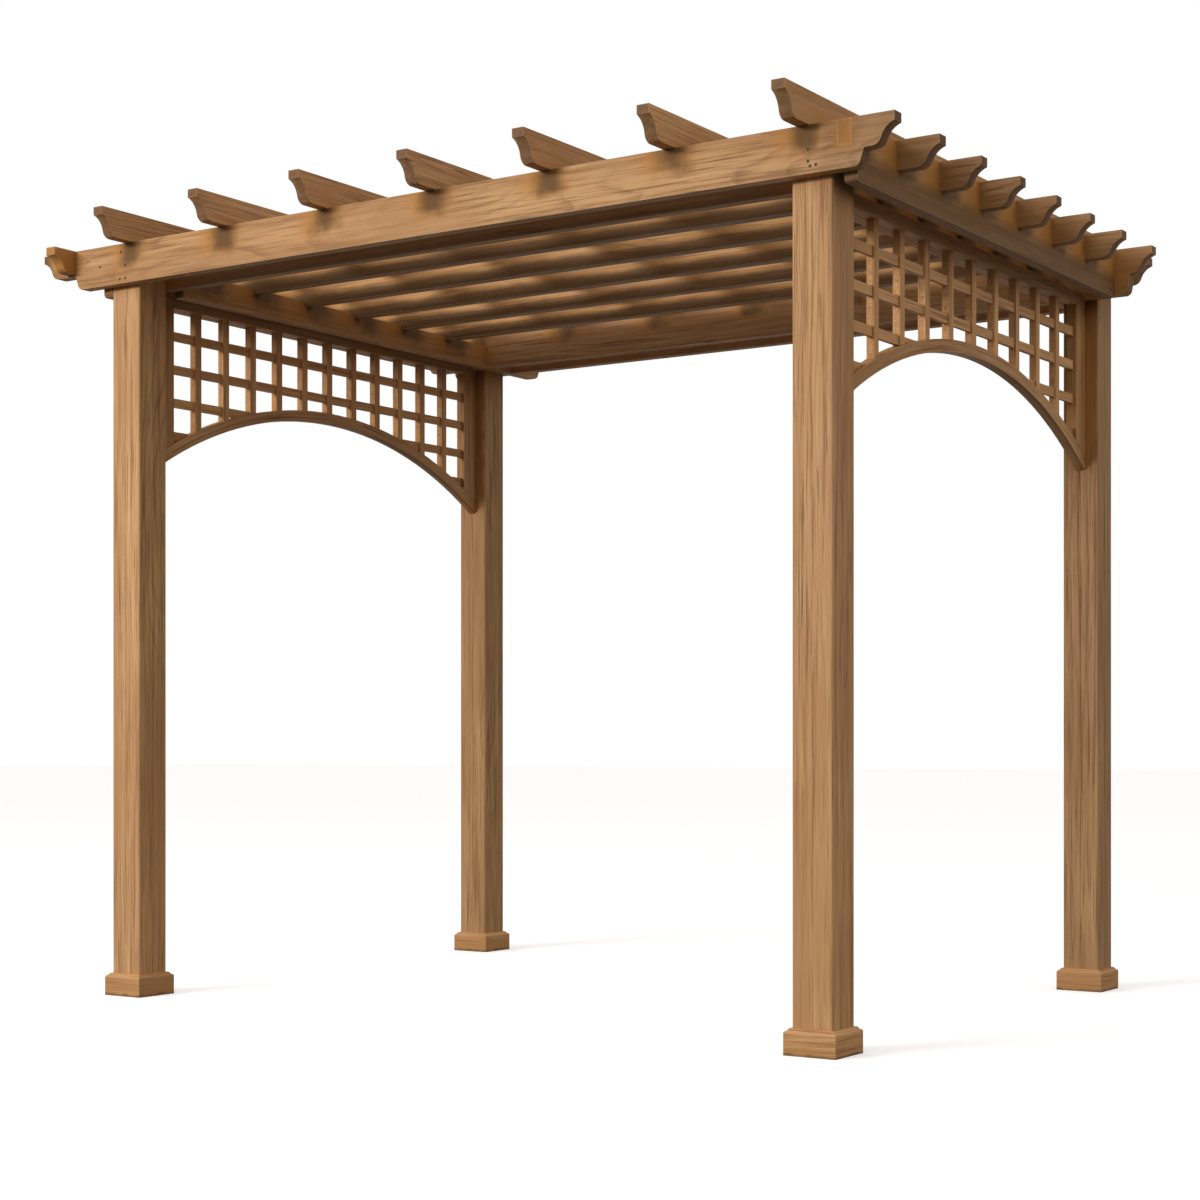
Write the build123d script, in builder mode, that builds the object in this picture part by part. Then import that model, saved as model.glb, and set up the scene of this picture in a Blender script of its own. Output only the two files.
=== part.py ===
# Wooden pergola with two arched lattice sides, in millimetres.
# X runs along the front, Y from the front to the back and Z up from the ground.
# Sizes are laid out about the middle between the posts, and each finished piece is then moved
# so that the origin is on the ground under the middle of the whole structure.
from build123d import *
import os

# Bay and posts
bay_width = 3070            # outer post face to outer post face along X
bay_depth = 2270            # outer post face to outer post face along Y
post_width = 140
post_edge = 4               # eased vertical edges of the posts
post_clearance = 12         # post tops below the purlins

# Base skirts round the post feet
skirt_thickness = 20
skirt_block = 68            # plain height below the moulded top
skirt_round = 7             # swelling above the plain height
skirt_cove = 8              # hollow above the swelling

# Level top of the beams, headers and rafters
frame_top = 2812
timber_thickness = 45
left_overhang = 322         # tips of beams and rafters beyond the left posts
right_overhang = 230
back_right_overhang = 148   # the beam behind the back posts ends earlier on the right

# Beams on both sides of the front and back posts
front_beam_depth = 148
back_beam_depth = 172
beam_lobe = 95              # depth of the upper lobe, which reaches furthest out
left_setback = 175          # lower lobe behind the left tip
front_right_setback = 104
inner_right_setback = 85
back_right_setback = 168
notch_round = 9             # between the lobes
lobe_slant = 8              # the lower lobe leans in towards its foot
lobe_round = 19

# Outer headers, outside the posts
outer_depth = 180
left_gap = 0                # between a post and its outer header
right_gap = 40
header_tongue = 78          # upper part of a header that passes through the beams
header_corner = 14          # rounded bottom corner behind the front beam

# Inner headers, on the inner faces of the posts and level with the bottom of the back beams
inner_lap = 17              # rafters notched over the inner headers
inner_tail = 255            # beyond the back posts

# Fly timber between the left header and the left tips, level with the rafters
fly_depth = 88
fly_inset = 127             # outer face behind the tips
fly_front_tail = 105        # beyond the front beam
fly_back_tail = 200         # beyond the back posts

# Rafters between the beams
rafter_count = 6
rafter_depth = 92

# Purlins on top, from front to back
purlin_count = 7
purlin_inset = 34           # outer purlins inside the middle of the posts
purlin_shift = 25           # middle of the row to the right of the middle between the posts
purlin_depth = 104
purlin_tail = 195           # tips beyond the post faces

# Shaped ends of all timbers
nose = 29                   # blunt height at the tip
hollow_slope = 0.27         # fall of the hollow where it leaves the nose
hollow_reach = 44
hollow_share = 0.64         # share of the height below the nose
swelling_reach = 31

# Arched lattice sides
panel_thickness = 40
stile_width = 90
top_rail_height = 48
arch_drop = 624             # underside of the arch at the posts, below the top rail
arch_rise = 288
arch_rail_width = 44
lath_width = 33
lath_depth = 28
row_height = 34
row_depth = 14
first_row = 104             # centre of the first row below the top rail
row_pitch = 128
row_count = 3               # whole rows; a fourth row has only short ends beside the stiles
lattice_cells = {-1: 12, 1: 10}     # cells between the stiles, left and right

# Places worked out from the sizes above
post_x = (bay_width - post_width) / 2
post_y = (bay_depth - post_width) / 2
face_x = bay_width / 2
face_y = bay_depth / 2
inner_x = face_x - post_width
inner_y = face_y - post_width
left_tip = -face_x - left_overhang
right_tip = face_x + right_overhang
post_height = frame_top - post_clearance
back_right_tip = face_x + back_right_overhang
beam_bottom = frame_top - front_beam_depth
back_beam_bottom = frame_top - back_beam_depth
outer_bottom = frame_top - outer_depth
tongue_bottom = frame_top - header_tongue
fly_bottom = frame_top - fly_depth
rafter_bottom = frame_top - rafter_depth
rafter_lap = frame_top - rafter_depth / 2
inner_top = rafter_bottom + inner_lap
front_beam_y = -face_y - timber_thickness
back_inner_y = inner_y - timber_thickness
rafter_pitch = (back_inner_y - front_beam_y) / (rafter_count + 1)
rafter_places = [front_beam_y + rafter_pitch * (i + 1) for i in range(rafter_count)]
outer_header_x = {-1: -face_x - left_gap - timber_thickness, 1: face_x + right_gap}
inner_header_x = {-1: -inner_x, 1: inner_x - timber_thickness}
inner_tip = face_y + inner_tail
fly_x = left_tip + fly_inset
purlin_tip = face_y + purlin_tail
purlin_pitch = (bay_width - post_width - 2 * purlin_inset) / (purlin_count - 1)
middle_x = (left_tip + right_tip) / 2
middle_y = (inner_tip - purlin_tip) / 2
panel_x = {-1: -post_x, 1: post_x}
top_rail_bottom = beam_bottom - top_rail_height
arch_springing = top_rail_bottom - arch_drop
arch_radius = (inner_y**2 + arch_rise**2) / (2 * arch_rise)
arch_centre = arch_springing + arch_rise - arch_radius
arch_outer = arch_radius + arch_rail_width
side_names = {-1: "left", 1: "right"}

os.makedirs("parts", exist_ok=True)


def hand_in(piece, label):
    """Moves a finished piece from the middle between the posts to the middle of the whole and writes it."""
    placed = piece.moved(Location((-middle_x, -middle_y, 0)))
    placed.label = label
    export_step(placed, f"parts/{label}.step")


def shaped_end(tip, top, depth, side):
    """Draws a blunt nose, a hollow and a swelling in the open outline and returns where the underside starts."""
    under_nose = (tip, top - nose)
    hollow_drop = hollow_share * (depth - nose)
    middle = (tip - side * hollow_reach, top - nose - hollow_drop)
    underside = (middle[0] - side * swelling_reach, top - depth)
    Line((tip, top), under_nose)
    hollow = TangentArc(under_nose, middle, tangent=(-side, -hollow_slope))
    TangentArc(middle, underside, tangent=hollow % 1)
    return underside


def lobed_end(tip, top, depth, setback, side):
    """Draws a shaped end with a second, lower lobe behind it and returns where the underside starts."""
    upper = shaped_end(tip, top, beam_lobe, side)
    face = tip - side * setback
    notch_start = (face + side * notch_round, top - beam_lobe)
    notch_end = (face, top - beam_lobe - notch_round)
    corner = (face - side * lobe_slant, top - depth + lobe_round)
    underside = (corner[0] - side * lobe_round, top - depth)
    Line(upper, notch_start)
    TangentArc(notch_start, notch_end, tangent=(-side, 0))
    lean = Line(notch_end, corner)
    TangentArc(corner, underside, tangent=lean % 1)
    return underside


def cut_box(x, y, z):
    """Takes away a box given by its limits along each axis."""
    with Locations(((x[0] + x[1]) / 2, (y[0] + y[1]) / 2, (z[0] + z[1]) / 2)):
        Box(x[1] - x[0], y[1] - y[0], z[1] - z[0], mode=Mode.SUBTRACT)


def across(start):
    """Gives the limits of a timber's thickness from the place where it starts."""
    return (start, start + timber_thickness)


# Posts and their base skirts
post_places = {
    "front_left": (-post_x, -post_y),
    "front_right": (post_x, -post_y),
    "back_left": (-post_x, post_y),
    "back_right": (post_x, post_y),
}
skirt_width = post_width + 2 * skirt_thickness
swelling_width = skirt_width - 2 * skirt_round
for place, (x, y) in post_places.items():
    with BuildPart() as post:
        with BuildSketch() as post_section:
            with Locations((x, y)):
                Rectangle(post_width, post_width)
        extrude(amount=post_height)
        chamfer(post.edges().filter_by(Axis.Z), post_edge)
    hand_in(post.part, f"post_{place}")

    with BuildPart() as skirt:
        with BuildSketch() as skirt_section:
            with Locations((x, y)):
                Rectangle(skirt_width, skirt_width)
        extrude(amount=skirt_block + skirt_round)
        fillet(skirt.faces().sort_by(Axis.Z)[-1].edges(), skirt_round - 0.1)
        with BuildSketch(Plane.XY.offset(skirt_block + skirt_round)) as lip_section:
            with Locations((x, y)):
                Rectangle(swelling_width, swelling_width)
        extrude(amount=skirt_cove, taper=38)
        with BuildSketch() as post_hole:
            with Locations((x, y)):
                Rectangle(post_width, post_width)
        extrude(amount=skirt_block + skirt_round + skirt_cove, mode=Mode.SUBTRACT)
    hand_in(skirt.part, f"skirt_{place}")

# Beams with shaped tips, notched from above for the fly timber and for the tongues of the outer headers
# and from below for the inner headers
long_beams = {
    "front_beam": (front_beam_y, front_beam_depth, right_tip, front_right_setback),
    "back_inner_beam": (back_inner_y, back_beam_depth, right_tip, inner_right_setback),
    "back_beam": (face_y, back_beam_depth, back_right_tip, back_right_setback),
}
tongues = {
    "front_beam": [outer_header_x[1]],
    "back_inner_beam": [outer_header_x[-1], outer_header_x[1]],
    "back_beam": [],
}
for place, (beam_y, depth, tip, setback) in long_beams.items():
    with BuildPart() as beam:
        with BuildSketch(Plane.XZ.offset(-beam_y)) as beam_section:
            with BuildLine() as beam_outline:
                left_end = lobed_end(left_tip, frame_top, depth, left_setback, -1)
                right_end = lobed_end(tip, frame_top, depth, setback, 1)
                Line(left_end, right_end)
                Line((left_tip, frame_top), (tip, frame_top))
            make_face()
        extrude(amount=-timber_thickness)
        cut_box(across(fly_x), across(beam_y), (fly_bottom, frame_top))
        for header_x in tongues[place]:
            cut_box(across(header_x), across(beam_y), (tongue_bottom, frame_top))
        if place != "front_beam":
            for header_x in inner_header_x.values():
                cut_box(across(header_x), across(beam_y), (back_beam_bottom, inner_top))
    hand_in(beam.part, place)

# Inner beam on the back of the front posts
with BuildPart() as inner_beam:
    with BuildSketch(Plane.XZ.offset(inner_y)) as inner_beam_section:
        with Locations((0, frame_top - front_beam_depth / 2)):
            Rectangle(bay_width, front_beam_depth)
    extrude(amount=-timber_thickness)
hand_in(inner_beam.part, "front_inner_beam")

# Rafters, notched from below over the headers and the fly timber
for number, rafter_y in enumerate(rafter_places, 1):
    with BuildPart() as rafter:
        with BuildSketch(Plane.XZ.offset(-rafter_y)) as rafter_section:
            with BuildLine() as rafter_outline:
                left_end = shaped_end(left_tip, frame_top, rafter_depth, -1)
                right_end = shaped_end(right_tip, frame_top, rafter_depth, 1)
                Line(left_end, right_end)
                Line((left_tip, frame_top), (right_tip, frame_top))
            make_face()
        extrude(amount=-timber_thickness)
        for crossing_x in [*outer_header_x.values(), fly_x]:
            cut_box(across(crossing_x), across(rafter_y), (rafter_bottom, rafter_lap))
        for crossing_x in inner_header_x.values():
            cut_box(across(crossing_x), across(rafter_y), (rafter_bottom, inner_top))
    hand_in(rafter.part, f"rafter_{number}")

# Outer headers: full depth as far as the inner back beam, and a tongue through it to the back beam.
# The right one also shows its end in the face of the front beam.
for side, name in side_names.items():
    header_x = outer_header_x[side]
    with BuildPart() as header:
        with BuildSketch(Plane.YZ.offset(header_x)) as header_section:
            with BuildLine() as header_outline:
                front_foot = (-face_y + header_corner, outer_bottom)
                front_heel = (-face_y, outer_bottom + header_corner)
                TangentArc(front_foot, front_heel, tangent=(-1, 0))
                Polyline(
                    front_heel,
                    (-face_y, frame_top),
                    (face_y, frame_top),
                    (face_y, tongue_bottom),
                    (back_inner_y, tongue_bottom),
                    (back_inner_y, outer_bottom),
                    front_foot,
                )
            make_face()
        extrude(amount=timber_thickness)
        if side == 1:
            with BuildSketch(Plane.YZ.offset(header_x)) as front_tongue:
                with Locations((-face_y, frame_top)):
                    Rectangle(timber_thickness, header_tongue, align=(Align.MAX, Align.MAX))
            extrude(amount=timber_thickness)
        for rafter_y in rafter_places:
            cut_box(across(header_x), across(rafter_y), (rafter_lap, frame_top))
    hand_in(header.part, f"{name}_outer_header")

# Inner headers, from the inner front beam to shaped tails behind the back beam
for side, name in side_names.items():
    header_front = -inner_y + timber_thickness
    with BuildPart() as header:
        with BuildSketch(Plane.YZ.offset(inner_header_x[side])) as header_section:
            with BuildLine() as header_outline:
                back_end = shaped_end(inner_tip, inner_top, inner_top - back_beam_bottom, 1)
                Polyline(
                    back_end,
                    (header_front, back_beam_bottom),
                    (header_front, inner_top),
                    (inner_tip, inner_top),
                )
            make_face()
        extrude(amount=timber_thickness)
    hand_in(header.part, f"{name}_inner_header")

# Fly timber outside the left header, with shaped tails in front and behind
with BuildPart() as fly:
    with BuildSketch(Plane.YZ.offset(fly_x)) as fly_section:
        with BuildLine() as fly_outline:
            fly_front = front_beam_y - fly_front_tail
            fly_back = face_y + fly_back_tail
            front_end = shaped_end(fly_front, frame_top, fly_depth, -1)
            back_end = shaped_end(fly_back, frame_top, fly_depth, 1)
            Line(front_end, back_end)
            Line((fly_front, frame_top), (fly_back, frame_top))
        make_face()
    extrude(amount=timber_thickness)
    for rafter_y in rafter_places:
        cut_box(across(fly_x), across(rafter_y), (rafter_lap, frame_top))
hand_in(fly.part, "left_fly")

# Purlins on top
purlin_top = frame_top + purlin_depth
purlin_row = [purlin_shift + purlin_pitch * (i - (purlin_count - 1) / 2) for i in range(purlin_count)]
for number, purlin_x in enumerate(purlin_row, 1):
    with BuildPart() as purlin:
        with BuildSketch(Plane.YZ.offset(purlin_x)) as purlin_section:
            with BuildLine() as purlin_outline:
                front_end = shaped_end(-purlin_tip, purlin_top, purlin_depth, -1)
                back_end = shaped_end(purlin_tip, purlin_top, purlin_depth, 1)
                Line(front_end, back_end)
                Line((-purlin_tip, purlin_top), (purlin_tip, purlin_top))
            make_face()
        extrude(amount=timber_thickness / 2, both=True)
    hand_in(purlin.part, f"purlin_{number}")

# Space inside the frame of a lattice side, above the arch rail
lattice_half = inner_y - stile_width
with BuildSketch() as lattice_space:
    with Locations((0, top_rail_bottom)):
        Rectangle(2 * lattice_half, arch_rise * 3, align=(Align.CENTER, Align.MAX))
    with Locations((0, arch_centre)):
        Circle(arch_outer, mode=Mode.SUBTRACT)
with BuildSketch() as stile_space:
    with Locations((0, top_rail_bottom)):
        Rectangle(2 * inner_y, arch_rise * 3, align=(Align.CENTER, Align.MAX))
    with Locations((0, arch_centre)):
        Circle(arch_outer, mode=Mode.SUBTRACT)
panel_foot = top_rail_bottom - arch_rise * 3

for side, name in side_names.items():
    panel_plane = Plane.YZ.offset(panel_x[side])

    # The top rail makes room for the deeper beam at the back
    with BuildPart() as top_rail:
        with BuildSketch(panel_plane) as top_rail_section:
            with Locations((0, top_rail_bottom)):
                Rectangle(2 * inner_y, top_rail_height, align=(Align.CENTER, Align.MIN))
        extrude(amount=panel_thickness / 2, both=True)
        panel_sides = (panel_x[side] - panel_thickness / 2, panel_x[side] + panel_thickness / 2)
        cut_box(panel_sides, across(back_inner_y), (back_beam_bottom, beam_bottom))
    hand_in(top_rail.part, f"{name}_top_rail")

    for end, place in {-1: "front", 1: "back"}.items():
        with BuildPart() as stile:
            with BuildSketch(panel_plane) as stile_section:
                with Locations((end * (inner_y - stile_width / 2), panel_foot)):
                    Rectangle(stile_width, arch_rise * 3, align=(Align.CENTER, Align.MIN))
                add(stile_space.sketch, mode=Mode.INTERSECT)
            extrude(amount=panel_thickness / 2, both=True)
        hand_in(stile.part, f"{name}_{place}_stile")

    with BuildPart() as arch_rail:
        with BuildSketch(panel_plane) as arch_rail_section:
            with Locations((0, arch_centre)):
                Circle(arch_outer)
                Circle(arch_radius, mode=Mode.SUBTRACT)
            with Locations((0, arch_springing)):
                Rectangle(2 * inner_y, arch_rise * 2, align=(Align.CENTER, Align.MIN), mode=Mode.INTERSECT)
        extrude(amount=panel_thickness / 2, both=True)
    hand_in(arch_rail.part, f"{name}_arch_rail")

    lath_pitch = (2 * lattice_half + lath_width) / lattice_cells[side]
    row_middle = top_rail_bottom - first_row - row_pitch * (row_count - 1) / 2
    last_row = top_rail_bottom - first_row - row_pitch * row_count
    with BuildPart() as lattice:
        with BuildSketch(panel_plane) as lath_section:
            with Locations((0, top_rail_bottom)):
                with GridLocations(lath_pitch, 0, lattice_cells[side] - 1, 1):
                    Rectangle(lath_width, arch_rise * 3, align=(Align.CENTER, Align.MAX))
            add(lattice_space.sketch, mode=Mode.INTERSECT)
        extrude(amount=lath_depth / 2, both=True)
        with BuildSketch(panel_plane) as row_section:
            with Locations((0, row_middle)):
                with GridLocations(0, row_pitch, 1, row_count):
                    Rectangle(2 * lattice_half, row_height)
            add(lattice_space.sketch, mode=Mode.INTERSECT)
        extrude(amount=row_depth / 2, both=True)
    hand_in(lattice.part, f"{name}_lattice")

    for end, place in {-1: "front", 1: "back"}.items():
        with BuildPart() as short_lath:
            with BuildSketch(panel_plane) as short_lath_section:
                with Locations((end * (lattice_half - stile_width / 2), last_row)):
                    Rectangle(stile_width, row_height)
                add(lattice_space.sketch, mode=Mode.INTERSECT)
            extrude(amount=row_depth / 2, both=True)
        hand_in(short_lath.part, f"{name}_{place}_short_lath")
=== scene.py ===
# Looks of the wooden pergola: weathered cedar on every timber, small screws, a pale floor and soft light.
# Metres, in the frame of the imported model: X along the front, Y to the back, Z up.
import bpy, bmesh, math, random
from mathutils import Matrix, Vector


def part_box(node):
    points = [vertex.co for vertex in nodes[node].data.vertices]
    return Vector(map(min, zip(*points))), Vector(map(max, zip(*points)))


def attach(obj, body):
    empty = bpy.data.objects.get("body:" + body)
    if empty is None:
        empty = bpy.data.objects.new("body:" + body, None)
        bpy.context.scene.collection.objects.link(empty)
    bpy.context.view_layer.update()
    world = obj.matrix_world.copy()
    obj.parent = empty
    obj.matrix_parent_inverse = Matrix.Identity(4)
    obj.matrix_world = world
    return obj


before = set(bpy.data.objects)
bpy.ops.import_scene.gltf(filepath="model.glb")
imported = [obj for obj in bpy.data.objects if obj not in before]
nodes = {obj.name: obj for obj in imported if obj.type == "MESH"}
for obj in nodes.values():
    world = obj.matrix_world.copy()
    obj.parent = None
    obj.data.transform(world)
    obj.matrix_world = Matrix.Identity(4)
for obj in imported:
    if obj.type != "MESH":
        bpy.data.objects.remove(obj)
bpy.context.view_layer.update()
scene = bpy.context.scene

# Camera, matched to the photograph's two-point perspective
image_size = 1200
camera_turn = 0.57999
focal_pixels = 2214.85
principal_x = 639.58
principal_y = 740.52
camera_place = (4.74931, -7.06172, 0.95852)
sensor_width = 36.0
view_distance = 200

camera_data = bpy.data.cameras.new("camera")
camera_data.sensor_width = sensor_width
camera_data.lens = focal_pixels / image_size * sensor_width
camera_data.shift_x = (image_size / 2 - principal_x) / image_size
camera_data.shift_y = (principal_y - image_size / 2) / image_size
camera_data.clip_end = view_distance
camera = bpy.data.objects.new("camera", camera_data)
camera.location = camera_place
camera.rotation_euler = (math.pi / 2, 0, camera_turn)
scene.collection.objects.link(camera)
scene.camera = camera
scene.view_settings.view_transform = "Standard"

# Colours of the weathered cedar, and of the painted shade, warm painted bounce light and painted edge
# highlights
golden = (0.6, 0.352, 0.165, 1)
pale = (0.68, 0.43, 0.24, 1)
rosy = (0.53, 0.296, 0.15, 1)
tan = (0.43, 0.226, 0.101, 1)
dark_brown = (0.16, 0.072, 0.028, 1)
check_brown = (0.1, 0.045, 0.018, 1)
knot_brown = (0.13, 0.06, 0.025, 1)
end_brown = (0.14, 0.07, 0.034, 1)
warm_light_and_stain_orange = (0.46, 0.212, 0.056, 1)
painted_shade_black = (0.055, 0.03, 0.015, 1)
highlight_pale = (0.7, 0.47, 0.28, 1)

# Growth of the cedar, in metres and per metre
rings_per_metre = 88.0
pith_beside = 0.03
pith_behind = 0.06
pith_wander = 0.2
ring_ripple = 0.013
knots_per_metre = 3.1

# Edges, corners, lattice rows and arches
timber_edge = 0.0025
lath_edge = 0.0015
highlight_radius = 0.006
sharp_angle = math.radians(40)
weld_distance = 0.00005
corner_reach = 0.17
row_half_depth = 0.0072
arch_rise = 0.288


def center(name):
    """Middle of a node's box."""
    low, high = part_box(name)
    return (Vector(low) + Vector(high)) / 2


class Graph:
    """A material's nodes, with short calls for the maths that the wood needs."""

    def __init__(self, tree):
        self.tree = tree

    def node(self, kind, **settings):
        made = self.tree.nodes.new(kind)
        for key, value in settings.items():
            setattr(made, key, value)
        return made

    def put(self, socket, value):
        """Links value to socket where it comes from a node, and else sets it."""
        if isinstance(value, bpy.types.NodeSocket):
            self.tree.links.new(value, socket)
        else:
            socket.default_value = value

    def math(self, operation, *values):
        made = self.node("ShaderNodeMath", operation=operation)
        for socket, value in zip(made.inputs, values):
            self.put(socket, value)
        return made.outputs[0]

    def plus(self, a, b):
        return self.math("ADD", a, b)

    def minus(self, a, b):
        return self.math("SUBTRACT", a, b)

    def times(self, a, b):
        return self.math("MULTIPLY", a, b)

    def larger(self, a, b):
        return self.math("MAXIMUM", a, b)

    def absolute(self, a):
        return self.math("ABSOLUTE", a)

    def length(self, a, b):
        return self.math("SQRT", self.plus(self.times(a, a), self.times(b, b)))

    def vector(self, x, y, z):
        made = self.node("ShaderNodeCombineXYZ")
        for socket, value in zip(made.inputs, (x, y, z)):
            self.put(socket, value)
        return made.outputs[0]

    def split(self, vector):
        made = self.node("ShaderNodeSeparateXYZ")
        self.put(made.inputs[0], vector)
        return made.outputs

    def vector_math(self, operation, a, b):
        made = self.node("ShaderNodeVectorMath", operation=operation)
        self.put(made.inputs[0], a)
        self.put(made.inputs[1], b)
        return made

    def stretched(self, grain, share):
        """Grain coordinates for a pattern that is drawn out along the grain."""
        return self.vector_math("MULTIPLY", grain, (1, 1, share)).outputs[0]

    def noise(self, vector, scale, detail=2.0, roughness=0.5):
        """Soft noise from nought to one, with about scale swings in a metre."""
        made = self.node("ShaderNodeTexNoise")
        self.put(made.inputs["Vector"], vector)
        made.inputs["Scale"].default_value = scale
        made.inputs["Detail"].default_value = detail
        made.inputs["Roughness"].default_value = roughness
        return made.outputs["Fac"]

    def sway(self, reach, vector, scale, detail, roughness=0.5):
        """Noise about zero, with reach from its lowest to its highest value."""
        return self.times(self.minus(self.noise(vector, scale, detail, roughness), 0.5), reach)

    def span(self, value, low, high, to_low=0.0, to_high=1.0):
        """Smooth change from to_low to to_high while value goes from low to high."""
        made = self.node("ShaderNodeMapRange", interpolation_type="SMOOTHSTEP")
        self.put(made.inputs["Value"], value)
        for key, number in (("From Min", low), ("From Max", high), ("To Min", to_low), ("To Max", to_high)):
            self.put(made.inputs[key], number)
        return made.outputs["Result"]

    def mix(self, factor, a, b, kind="RGBA"):
        made = self.node("ShaderNodeMix", data_type=kind)
        self.put(made.inputs["Factor"], factor)
        self.put(made.inputs["A"], a)
        self.put(made.inputs["B"], b)
        return made.outputs["Result"]

    def principled(self, colour, roughness, normal):
        made = self.node("ShaderNodeBsdfPrincipled")
        self.put(made.inputs["Base Color"], colour)
        self.put(made.inputs["Roughness"], roughness)
        self.put(made.inputs["Normal"], normal)
        return made

    def diffuse(self, colour):
        made = self.node("ShaderNodeBsdfDiffuse")
        made.inputs["Color"].default_value = colour
        return made.outputs[0]

    def surface(self, shader):
        self.put(self.node("ShaderNodeOutputMaterial").inputs["Surface"], shader)

    def mix_shaders(self, factor, a, b):
        made = self.node("ShaderNodeMixShader")
        for socket, value in zip(made.inputs, (factor, a, b)):
            self.put(socket, value)
        return made.outputs[0]

    def bump(self, height, strength, distance):
        made = self.node("ShaderNodeBump")
        made.inputs["Strength"].default_value = strength
        made.inputs["Distance"].default_value = distance
        self.put(made.inputs["Height"], height)
        return made.outputs["Normal"]

    def seen_directly(self):
        """One for what the camera sees, also reflected or through glass, and nought for bounced light."""
        path = self.node("ShaderNodeLightPath").outputs
        direct = self.larger(path["Is Camera Ray"], path["Is Glossy Ray"])
        return self.larger(direct, path["Is Transmission Ray"])


def new_material(name):
    """An empty material and its graph."""
    material = bpy.data.materials.new(name)
    material.use_nodes = True
    material.node_tree.nodes.clear()
    return material, Graph(material.node_tree)


def late_wood(g, grain, slow):
    """Dark late wood of growth rings round a pith that wanders, on whatever face cuts them."""
    x, y = g.split(grain)[:2]
    beside = g.plus(g.plus(x, g.sway(pith_wander, slow, 3.0, 1.0)), pith_beside)
    behind = g.plus(y, pith_behind)
    radius = g.plus(g.length(beside, behind), g.sway(ring_ripple, slow, 14.0, 3.0, 0.6))
    ring = g.math("FRACT", g.times(radius, rings_per_metre))
    return g.times(g.span(ring, 0.58, 0.93), g.span(ring, 1.0, 0.93))


def drying_checks(g, grain, fine):
    """Thin lines that open and close along the grain."""
    line = g.absolute(g.minus(g.noise(fine, 34.0, 1.0, 0.4), 0.5))
    opening = g.span(g.noise(g.stretched(grain, 0.35), 6.5, 1.0), 0.58, 0.68)
    return g.times(g.span(line, 0.014, 0.004), opening)


def small_knots(g, grain):
    """Round knots, rare."""
    cells = g.node("ShaderNodeTexVoronoi", feature="F1")
    g.put(cells.inputs["Vector"], g.stretched(grain, 0.42))
    cells.inputs["Scale"].default_value = knots_per_metre
    return g.span(cells.outputs["Distance"], 0.035, 0.014)


def openness(g):
    """Low in corners where timbers meet, and one in the open."""
    near = g.node("ShaderNodeAmbientOcclusion", samples=8)
    near.inputs["Distance"].default_value = corner_reach
    return near.outputs["AO"]


def edge_turn(g):
    """How far a rounded edge turns away from its face, as the mask of the painted edge highlights."""
    rounded = g.node("ShaderNodeBevel", samples=4)
    rounded.inputs["Radius"].default_value = highlight_radius
    flat = g.node("ShaderNodeNewGeometry")
    turned = g.vector_math("DOT_PRODUCT", rounded.outputs["Normal"], flat.outputs["Normal"])
    return g.span(turned.outputs["Value"], 0.985, 0.8)


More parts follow.
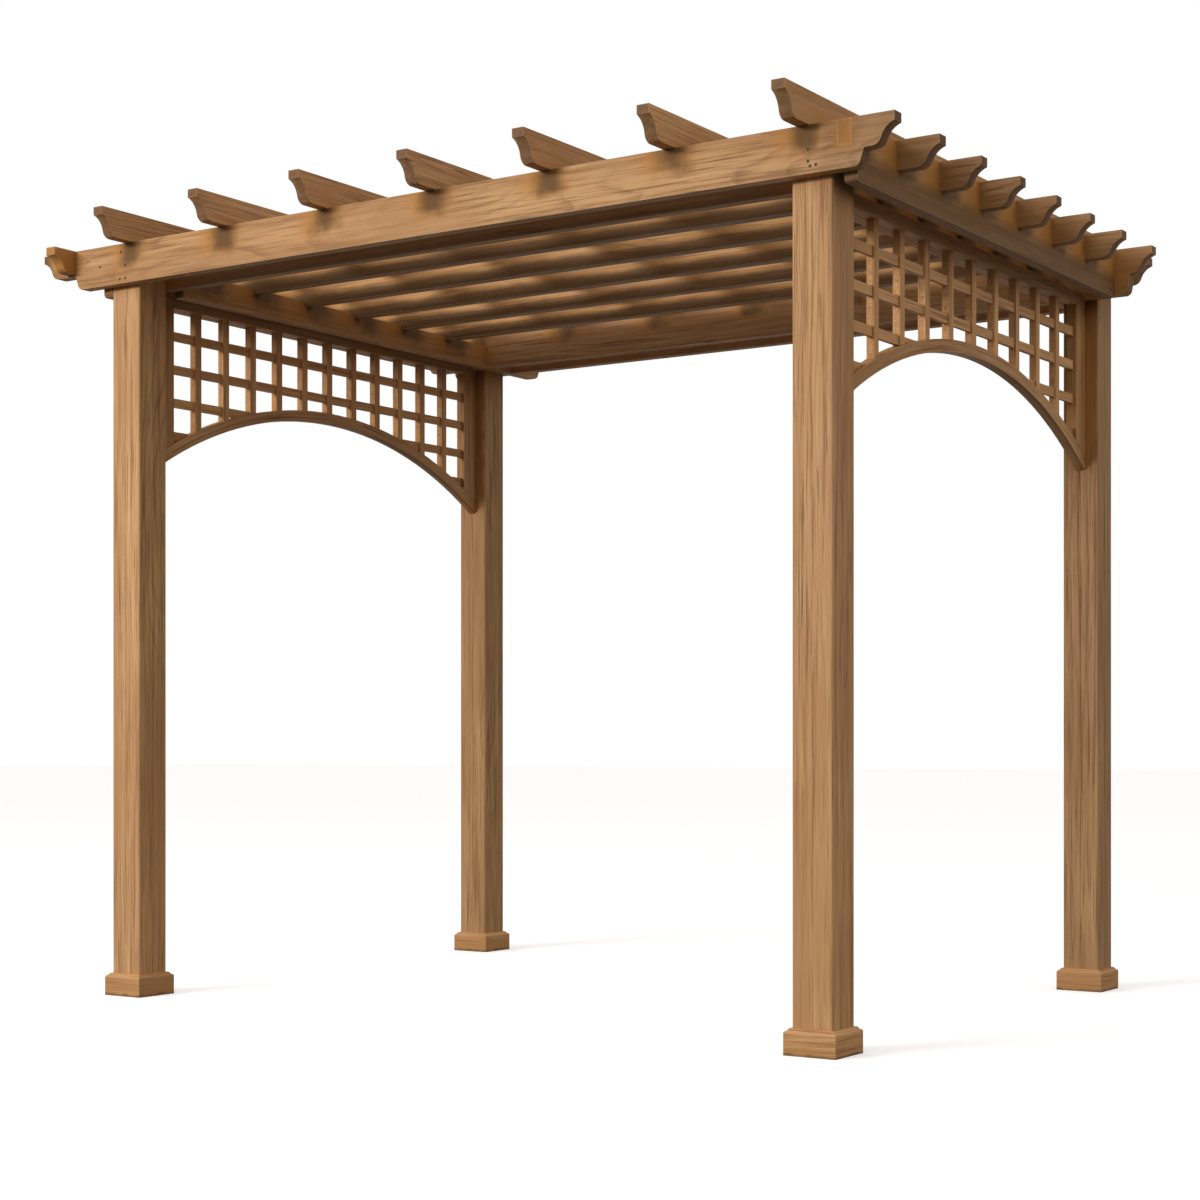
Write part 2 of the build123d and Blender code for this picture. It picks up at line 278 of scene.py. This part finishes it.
def cedar_group():
    """Cedar in grain coordinates: z runs along the grain, x and y across it, in metres."""
    tree = bpy.data.node_groups.new("cedar", "ShaderNodeTree")
    tree.interface.new_socket("Grain", in_out="INPUT", socket_type="NodeSocketVector")
    for name in ("Tone", "Corner shading", "Split", "Warm light and stain", "Painted shade", "End"):
        tree.interface.new_socket(name, in_out="INPUT", socket_type="NodeSocketFloat")
    tree.interface.new_socket("Colour", in_out="OUTPUT", socket_type="NodeSocketColor")
    for name in ("Roughness", "Height"):
        tree.interface.new_socket(name, in_out="OUTPUT", socket_type="NodeSocketFloat")
    g = Graph(tree)
    given = g.node("NodeGroupInput").outputs
    out = g.node("NodeGroupOutput").inputs
    grain = given["Grain"]

    slow = g.stretched(grain, 0.2)
    along = g.stretched(grain, 0.035)
    fine = g.stretched(grain, 0.02)

    # Golden and rosy wood, tan patches, growth rings, streaks and hair-fine dark lines along the grain
    hue = g.noise(g.stretched(grain, 0.12), 5.0, 1.0)
    broad = g.noise(along, 7.0)
    patch = g.noise(g.stretched(grain, 0.3), 5.5, 3.0)
    streak = g.noise(along, 60.0, 3.0, 0.6)
    hair = g.noise(fine, 170.0, 4.0, 0.75)
    late = late_wood(g, grain, slow)
    ring_share = g.span(g.noise(slow, 3.4, 1.0), 0.38, 0.62, 0.25, 1.0)
    colour = g.mix(g.span(hue, 0.38, 0.62), golden, rosy)
    colour = g.mix(g.span(broad, 0.4, 0.72, 0.0, 0.85), colour, tan)
    colour = g.mix(g.times(g.times(late, ring_share), 0.4), colour, dark_brown)
    colour = g.mix(g.span(streak, 0.5, 0.7, 0.0, 0.6), colour, dark_brown)
    colour = g.mix(g.span(streak, 0.48, 0.25, 0.0, 0.62), colour, pale)
    colour = g.mix(g.span(hair, 0.53, 0.64, 0.0, 0.66), colour, dark_brown)
    colour = g.mix(g.span(patch, 0.4, 0.66, 0.0, 0.7), colour, tan)

    # Drying checks and knots
    check = g.larger(drying_checks(g, grain, fine), given["Split"])
    colour = g.mix(g.times(check, 0.62), colour, check_brown)
    colour = g.mix(g.times(small_knots(g, grain), 0.75), colour, knot_brown)

    # Tone of the board, and its darker sawn ends
    tone = g.node("ShaderNodeHueSaturation")
    g.put(tone.inputs["Color"], colour)
    g.put(tone.inputs["Value"], given["Tone"])
    colour = g.mix(g.times(given["End"], 0.85), tone.outputs["Color"], end_brown)

    # Warm painted bounce light and painted shade in corners where timbers meet, added to the painted light,
    # shade and stain from the inputs, and painted highlights on rounded edges
    free = openness(g)
    uneven = g.span(g.noise(slow, 9.0), 0.3, 0.6, 0.45, 1.0)
    # Warm painted bounce light round corners, scaled by the corner shading
    warm_light_and_stain = g.times(g.times(g.span(free, 0.9, 0.5), uneven), given["Corner shading"])
    colour = g.mix(g.larger(warm_light_and_stain, given["Warm light and stain"]), colour, warm_light_and_stain_orange)
    # Painted shade deep in corners, scaled by the corner shading
    painted_shade = g.times(g.span(free, 0.56, 0.24), given["Corner shading"])
    colour = g.mix(g.times(g.larger(painted_shade, given["Painted shade"]), 0.85), colour, painted_shade_black)
    # Painted highlights on rounded edges, uneven along the streaks
    edge_highlight = g.times(edge_turn(g), g.span(streak, 0.3, 0.6, 0.35, 1.0))
    g.put(out["Colour"], g.mix(g.times(edge_highlight, 0.42), colour, highlight_pale))

    rough = g.span(streak, 0.2, 0.8, 0.62, 0.8)
    g.put(out["Roughness"], g.plus(rough, g.times(check, 0.2)))
    height = g.plus(g.plus(g.times(late, 0.25), g.times(hair, 0.35)), g.times(streak, 0.4))
    g.put(out["Height"], g.minus(height, g.times(check, 1.2)))
    return tree


cedar = cedar_group()


def heart_check(g, place, middle):
    """A thin drying check that runs up the middle of each face of a post."""
    x, y, z = g.split(place)
    height = g.vector(0.0, 0.0, z)
    drift = g.sway(0.03, height, 1.7, 3.0)
    off_x = g.absolute(g.plus(g.minus(x, middle.x), drift))
    off_y = g.absolute(g.minus(g.minus(y, middle.y), drift))
    width = g.span(g.noise(height, 4.3, 3.0, 0.7), 0.38, 0.62, 0.0005, 0.003)
    line = g.math("DIVIDE", g.math("MINIMUM", off_x, off_y), width)
    return g.span(line, 1.0, 0.35, 0.0, 0.85)


def from_nearest(g, value, first, pitch):
    """How far value is from the nearest place of an even row."""
    moved = g.minus(value, first - pitch / 2)
    return g.absolute(g.minus(g.math("FLOORED_MODULO", moved, pitch), pitch / 2))


def run_marks(axis, first, pitch, top, drop, spread, width):
    """Warm painted bounce light before and painted shadow behind each of an even row of crossing timbers,
    run down the face under them.
    """
    def marks(g, place):
        along = g.split(place)[axis]
        uneven = g.sway(0.07, place, 13.0, 3.0)
        below = g.plus(g.minus(top, g.split(place)[2]), uneven)
        warm_light_aside = g.plus(from_nearest(g, along, first - spread, pitch), uneven)
        shade_aside = g.plus(from_nearest(g, along, first + spread, pitch), uneven)
        warm_light_and_stain = g.span(warm_light_aside, width * 1.6, 0.02, 0.0, 0.95)
        painted_shade = g.span(shade_aside, width, width * 0.1, 0.0, 0.9)
        warm_light_run = g.span(below, drop * 1.6, drop * 0.5)
        shade_run = g.span(below, drop * 1.35, drop * 0.7)
        return g.times(warm_light_and_stain, warm_light_run), g.times(painted_shade, shade_run)
    return marks


def lower_half_marks(axis, reach, low, high, dark):
    """Painted shade on a timber's lower half and warm painted light above it, as far as reach from the
    middle of the pergola.
    """
    def height_at(share):
        return low + (high - low) * share

    def marks(g, place):
        inside = g.span(g.absolute(g.split(place)[axis]), reach + 0.03, reach - 0.03)
        z = g.plus(g.split(place)[2], g.sway(0.03, place, 6.0, 3.0))
        painted_shade = g.span(z, height_at(0.62), height_at(0.3), 0.0, dark)
        warm_light_and_stain = g.span(z, high, height_at(0.5), 0.0, 0.35)
        return g.times(warm_light_and_stain, inside), g.times(painted_shade, inside)
    return marks


def right_tip_marks(start, dark):
    """Painted shade on the right tip of a timber, from start outward."""
    def marks(g, place):
        uneven = g.span(g.noise(place, 9.0, 3.0), 0.35, 0.6, 0.8, 1.0)
        grime_and_shade = g.span(g.split(place)[0], start, start + 0.08, 0.0, dark)
        return 0.0, g.times(grime_and_shade, uneven)
    return marks


def tongue_marks(middle, half, back, top, drop):
    """Warm stain round the end of a header's tongue in a beam, no further back than back."""
    def marks(g, place):
        x, y, z = g.split(place)
        aside = g.span(g.absolute(g.minus(x, middle)), half + 0.03, half - 0.003)
        below = g.span(g.minus(top, z), drop + 0.03, drop - 0.003)
        warm_light_and_stain = g.times(g.times(aside, below), g.math("LESS_THAN", y, back))
        return g.times(warm_light_and_stain, 0.9), 0.0
    return marks


def ground_marks(g, place):
    """A skirt's foot: warmer within 3 cm of the floor, and a painted contact shadow along its bottom edge.
    """
    z = g.split(place)[2]
    rising = g.times(g.noise(place, 30.0), 0.02)
    return g.span(z, 0.03, 0.0, 0.0, 0.3), g.span(g.minus(z, rising), 0.004, -0.009, 0.0, 0.85)


def wood(name, seed, lay, tone, corner_shading, heart, end, marks):
    """A board's own cedar.

    lay turns a place on the board into grain coordinates, heart is the middle of a post that has a check,
    end is the axis that the sawn ends face, and marks give warm painted light, stain and painted shade.
    """
    material, g = new_material(name)
    place = g.node("ShaderNodeTexCoord").outputs["Object"]
    shift = random.Random(seed)
    offset = tuple(shift.uniform(-40, 40) for axis in range(3))
    board = g.node("ShaderNodeGroup", node_tree=cedar)
    g.put(board.inputs["Grain"], g.vector_math("ADD", lay(g, place), offset).outputs[0])
    board.inputs["Tone"].default_value = tone * shift.uniform(0.94, 1.06)
    board.inputs["Corner shading"].default_value = corner_shading
    if heart:
        g.put(board.inputs["Split"], heart_check(g, place, heart))
    if end is not None:
        normal = g.node("ShaderNodeTexCoord").outputs["Normal"]
        g.put(board.inputs["End"], g.span(g.absolute(g.split(normal)[end]), 0.4, 0.95))
    for mark in marks:
        for key, value in zip(("Warm light and stain", "Painted shade"), mark(g, place)):
            socket = board.inputs[key]
            if socket.links:
                value = g.larger(socket.links[0].from_socket, value)
            g.put(socket, value)
    relief = g.bump(board.outputs["Height"], strength=0.35, distance=0.0012)
    shader = g.principled(board.outputs["Colour"], board.outputs["Roughness"], relief)
    shader.inputs["Specular IOR Level"].default_value = 0.18
    g.surface(shader.outputs[0])
    return material


def along_x(g, place):
    """Grain along the front."""
    x, y, z = g.split(place)
    return g.vector(y, z, x)


def along_y(g, place):
    """Grain from front to back."""
    x, y, z = g.split(place)
    return g.vector(x, z, y)


def along_z(g, place):
    """Upright grain."""
    return place


def along_arch(name):
    """Grain that follows an arch rail round its centre."""
    low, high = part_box(name)
    half = (high[1] - low[1]) / 2
    radius = (half**2 + arch_rise**2) / (2 * arch_rise)

    def lay(g, place):
        x, y, z = g.split(place)
        across = g.minus(y, center(name).y)
        up = g.minus(z, low[2] + arch_rise - radius)
        run = g.times(g.math("ARCTAN2", across, up), radius)
        return g.vector(x, g.length(across, up), run)
    return lay


def along_mitred(middle):
    """Grain that runs level round the four mitred sides of a skirt."""
    def lay(g, place):
        x, y, z = g.split(place)
        side = g.absolute(g.minus(x, middle.x))
        front = g.absolute(g.minus(y, middle.y))
        facing_front = g.math("GREATER_THAN", front, side)
        return g.mix(facing_front, g.vector(x, z, y), g.vector(y, z, x), "VECTOR")
    return lay


def along_lattice(middle):
    """Upright grain on the laths and level grain on the thinner rows between them."""
    def lay(g, place):
        x, y, z = g.split(place)
        on_row = g.math("LESS_THAN", g.absolute(g.minus(x, middle.x)), row_half_depth)
        return g.mix(on_row, place, g.vector(x, z, y), "VECTOR")
    return lay


def dress(name, lay, tone, corner_shading, edge=timber_edge, heart=None, end=None, marks=()):
    """Gives a CAD node its own wood and eased edges."""
    piece = nodes[name]
    piece.data.materials.clear()
    piece.data.materials.append(wood("wood_" + name, name, lay, tone, corner_shading, heart, end, marks))
    if edge:
        weld = piece.modifiers.new("weld", "WELD")
        weld.merge_threshold = weld_distance
        ease = piece.modifiers.new("eased_edges", "BEVEL")
        ease.width = edge
        ease.segments = 2
        ease.limit_method = "ANGLE"
        ease.angle_limit = sharp_angle


# Tone of each post, with painted shade: the back posts darker than the front ones
post_shading_tones = {
    "post_front_left": 0.97,
    "post_front_right": 1.07,
    "post_back_left": 0.84,
    "post_back_right": 0.73,
}

# Painted shade and warm painted light, placed from the timbers that cross, and the stain round a header's
# tongue
frame_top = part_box("front_beam")[1][2]
beam_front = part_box("front_beam")[0][1]
beam_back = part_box("front_beam")[1][1]
rafter_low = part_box("rafter_1")[0][2]
header_left, header_right = (corner[0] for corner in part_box("right_outer_header"))
header_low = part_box("right_outer_header")[0][2]
purlin_first = center("purlin_1").x
purlin_pitch = center("purlin_2").x - purlin_first
rafter_first = center("rafter_1").y
rafter_pitch = center("rafter_2").y - rafter_first
roof_half_width = 1.5
past_both_ends = 2.0
tongue_half = (header_right - header_left) / 2
tongue_back = beam_back + 0.005
tongue_drop = 0.078
under_purlins = run_marks(0, purlin_first, purlin_pitch, frame_top, drop=0.075, spread=0.01, width=0.09)
under_rafters = run_marks(1, rafter_first, rafter_pitch, frame_top, drop=0.135, spread=0.06, width=0.13)
inside_roof = lower_half_marks(0, roof_half_width, rafter_low, frame_top, dark=0.88)
header_foot = lower_half_marks(1, past_both_ends, header_low, frame_top, dark=0.8)
beam_tip = right_tip_marks(roof_half_width + 0.02, dark=0.42)
rafter_tip = right_tip_marks(roof_half_width, dark=0.55)
tongue = tongue_marks(header_left + tongue_half, tongue_half, tongue_back, frame_top, tongue_drop)

for name in nodes:
    if name.startswith("post_"):
        dress(name, along_z, tone=post_shading_tones[name], corner_shading=0.8, edge=0, heart=center(name))
    elif name.startswith("skirt_"):
        dress(name, along_mitred(center(name)), tone=1.03, corner_shading=0.5, marks=[ground_marks])
    elif name == "front_beam":
        dress(name, along_x, tone=0.91, corner_shading=0.95, end=0, marks=[under_purlins, tongue, beam_tip])
    elif name == "front_inner_beam":
        # Darkened all over as painted shade, for the inner beam behind the posts
        dress(name, along_x, tone=0.6, corner_shading=0.6)
    elif name.endswith("beam"):
        dress(name, along_x, tone=1.0, corner_shading=0.95, end=0, marks=[under_purlins])
    elif name.startswith("rafter_"):
        dress(name, along_x, tone=1.18, corner_shading=0.95, end=0, marks=[inside_roof, rafter_tip])
    elif name == "right_outer_header":
        dress(name, along_y, tone=1.03, corner_shading=0.95, marks=[under_rafters, header_foot, tongue])
    elif name.endswith(("header", "fly")):
        dress(name, along_y, tone=1.0, corner_shading=0.95, end=1, marks=[under_rafters])
    elif name.startswith("purlin_"):
        dress(name, along_y, tone=1.0, corner_shading=0.95, end=1)
    elif name.endswith("top_rail"):
        # Lightened as painted light where the header shades the top rails, with less painted corner shade
        dress(name, along_y, tone=1.35, corner_shading=0.35)
    elif name.endswith("stile"):
        dress(name, along_z, tone=0.98, corner_shading=0.85)
    elif name.endswith("arch_rail"):
        dress(name, along_arch(name), tone=1.0, corner_shading=0.8)
    elif name.endswith("short_lath"):
        dress(name, along_y, tone=0.95, corner_shading=0.8, edge=lath_edge)
    else:
        dress(name, along_lattice(center(name)), tone=1.22, corner_shading=0.7, edge=lath_edge)


# Screw heads: rust, and the outline from the rim to the floor of the recess, as radius and height
rust_dark = (0.045, 0.026, 0.016, 1)
rust_light = (0.14, 0.062, 0.028, 1)
head_profile = [(0.0052, 0.0), (0.0048, 0.0006), (0.0032, 0.0009), (0.0021, 0.0009), (0.0019, -0.0004)]
head_sides = 16
square_from = 3


def rust():
    """Dark, rough rusted steel."""
    material, g = new_material("screw_rust")
    grime_and_shade = g.noise(g.node("ShaderNodeTexCoord").outputs["Object"], 900.0, 3.0, 0.6)
    colour = g.mix(g.span(grime_and_shade, 0.4, 0.6), rust_dark, rust_light)
    roughness = g.span(grime_and_shade, 0.3, 0.7, 0.5, 0.8)
    relief = g.bump(grime_and_shade, strength=0.3, distance=0.0004)
    shader = g.principled(colour, roughness, relief)
    shader.inputs["Metallic"].default_value = 0.4
    g.surface(shader.outputs[0])
    return material


screw_rust = rust()


def head_ring(radius, height, square):
    """Points round a screw's axis, on a circle or on the square of its recess."""
    points = []
    for step in range(head_sides):
        angle = 2 * math.pi * step / head_sides
        reach = radius
        if square:
            reach = radius / max(abs(math.cos(angle)), abs(math.sin(angle)))
        points.append(Vector((reach * math.cos(angle), reach * math.sin(angle), height)))
    return points


def screws(name, places, outward):
    """Screw heads with a square recess, at places on a face that looks outward."""
    turn = Vector(outward).to_track_quat("Z", "Y").to_matrix()
    mesh = bmesh.new()
    for place in places:
        rings = []
        for number, (radius, height) in enumerate(head_profile):
            points = head_ring(radius, height, number >= square_from)
            rings.append([mesh.verts.new(Vector(place) + turn @ point) for point in points])
        for outer, inner in zip(rings, rings[1:]):
            for step in range(head_sides):
                after = (step + 1) % head_sides
                mesh.faces.new((outer[step], outer[after], inner[after], inner[step]))
        mesh.faces.new(rings[-1])
        mesh.faces.new(list(reversed(rings[0])))
    data = bpy.data.meshes.new(name)
    mesh.to_mesh(data)
    mesh.free()
    data.materials.append(screw_rust)
    piece = bpy.data.objects.new(name, data)
    scene.collection.objects.link(piece)
    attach(piece, "root")


# Heads in a beam: how far to the right of a post's middle, and how far below the frame's top
at_left_post = [(0.02, 0.031), (0.044, 0.0825), (0.044, 0.131), (0.015, 0.1315), (-0.089, 0.0745)]
at_right_post = [(0.01, 0.074), (0.01, 0.11), (0.017, 0.126), (0.037, 0.124)]
left_post = center("post_front_left").x
right_post = center("post_front_right").x
beam_heads = [(left_post + aside, frame_top - drop) for aside, drop in at_left_post]
beam_heads += [(right_post + aside, frame_top - drop) for aside, drop in at_right_post]
back_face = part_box("back_beam")[1][1]
screws("screws_front_beam", [(x, beam_front, z) for x, z in beam_heads], (0, -1, 0))
screws("screws_back_beam", [(x, back_face, z) for x, z in beam_heads], (0, 1, 0))

# One head in each outer header, before the back post and above the header's lower edge
before_post = 0.162
above_edge = 0.021
head_y = center("post_back_right").y - before_post
head_z = header_low + above_edge
left_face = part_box("left_outer_header")[0][0]
screws("screws_right_header", [(header_right, head_y, head_z)], (1, 0, 0))
screws("screws_left_header", [(left_face, head_y, head_z)], (-1, 0, 0))

# Floor, backdrop and light
floor_reach = 60.0
floor_seen = (0.9, 0.9, 0.9, 1)
floor_glow = (0.82, 0.88, 1.0, 1)
floor_glow_strength = 0.45
floor_bounce = (0.03, 0.0291, 0.0279, 1)
backdrop_white = (1, 1, 1, 1)
ambient_warm = (1.0, 0.93, 0.81, 1)
key_place = (-4.8, -12.0, 5.6)
key_target = (0.0, 0.0, 1.5)
key_power = 1110
key_width = 6.5
key_height = 1.6
key_colour = (1.0, 0.98, 0.95)


def soft_white(name):
    """White for the camera, darker for the light that it throws back at the object, with shadows kept."""
    material, g = new_material(name)
    glow = g.node("ShaderNodeEmission")
    glow.inputs["Color"].default_value = floor_glow
    glow.inputs["Strength"].default_value = floor_glow_strength
    lit = g.node("ShaderNodeAddShader")
    g.put(lit.inputs[0], g.diffuse(floor_seen))
    g.put(lit.inputs[1], glow.outputs[0])
    g.surface(g.mix_shaders(g.seen_directly(), g.diffuse(floor_bounce), lit.outputs[0]))
    return material


corners = [(-floor_reach, -floor_reach, 0), (floor_reach, -floor_reach, 0),
           (floor_reach, floor_reach, 0), (-floor_reach, floor_reach, 0)]
floor_mesh = bpy.data.meshes.new("floor")
floor_mesh.from_pydata(corners, [], [(0, 1, 2, 3)])
floor_mesh.materials.append(soft_white("floor_white"))
floor = bpy.data.objects.new("floor", floor_mesh)
scene.collection.objects.link(floor)

world = bpy.data.worlds.new("world")
scene.world = world
world.use_nodes = True
world.node_tree.nodes.clear()
g = Graph(world.node_tree)
backdrop = g.node("ShaderNodeBackground")
backdrop.inputs["Color"].default_value = backdrop_white
ambient = g.node("ShaderNodeBackground")
ambient.inputs["Color"].default_value = ambient_warm
sky_z = g.split(g.node("ShaderNodeTexCoord").outputs["Generated"])[2]
low_sky = g.span(sky_z, 0.0, 0.3, 0.44, 1.12)
high_sky = g.span(sky_z, 0.4, 0.95, 1.0, 0.3)
g.put(ambient.inputs["Strength"], g.times(low_sky, high_sky))
sky = g.mix_shaders(g.seen_directly(), ambient.outputs[0], backdrop.outputs[0])
g.put(g.node("ShaderNodeOutputWorld").inputs["Surface"], sky)

key_data = bpy.data.lights.new("key", "AREA")
key_data.energy = key_power
key_data.shape = "RECTANGLE"
key_data.size = key_width
key_data.size_y = key_height
key_data.color = key_colour
key = bpy.data.objects.new("key", key_data)
key.location = key_place
key.rotation_euler = (Vector(key_place) - Vector(key_target)).to_track_quat("Z", "Y").to_euler()
scene.collection.objects.link(key)
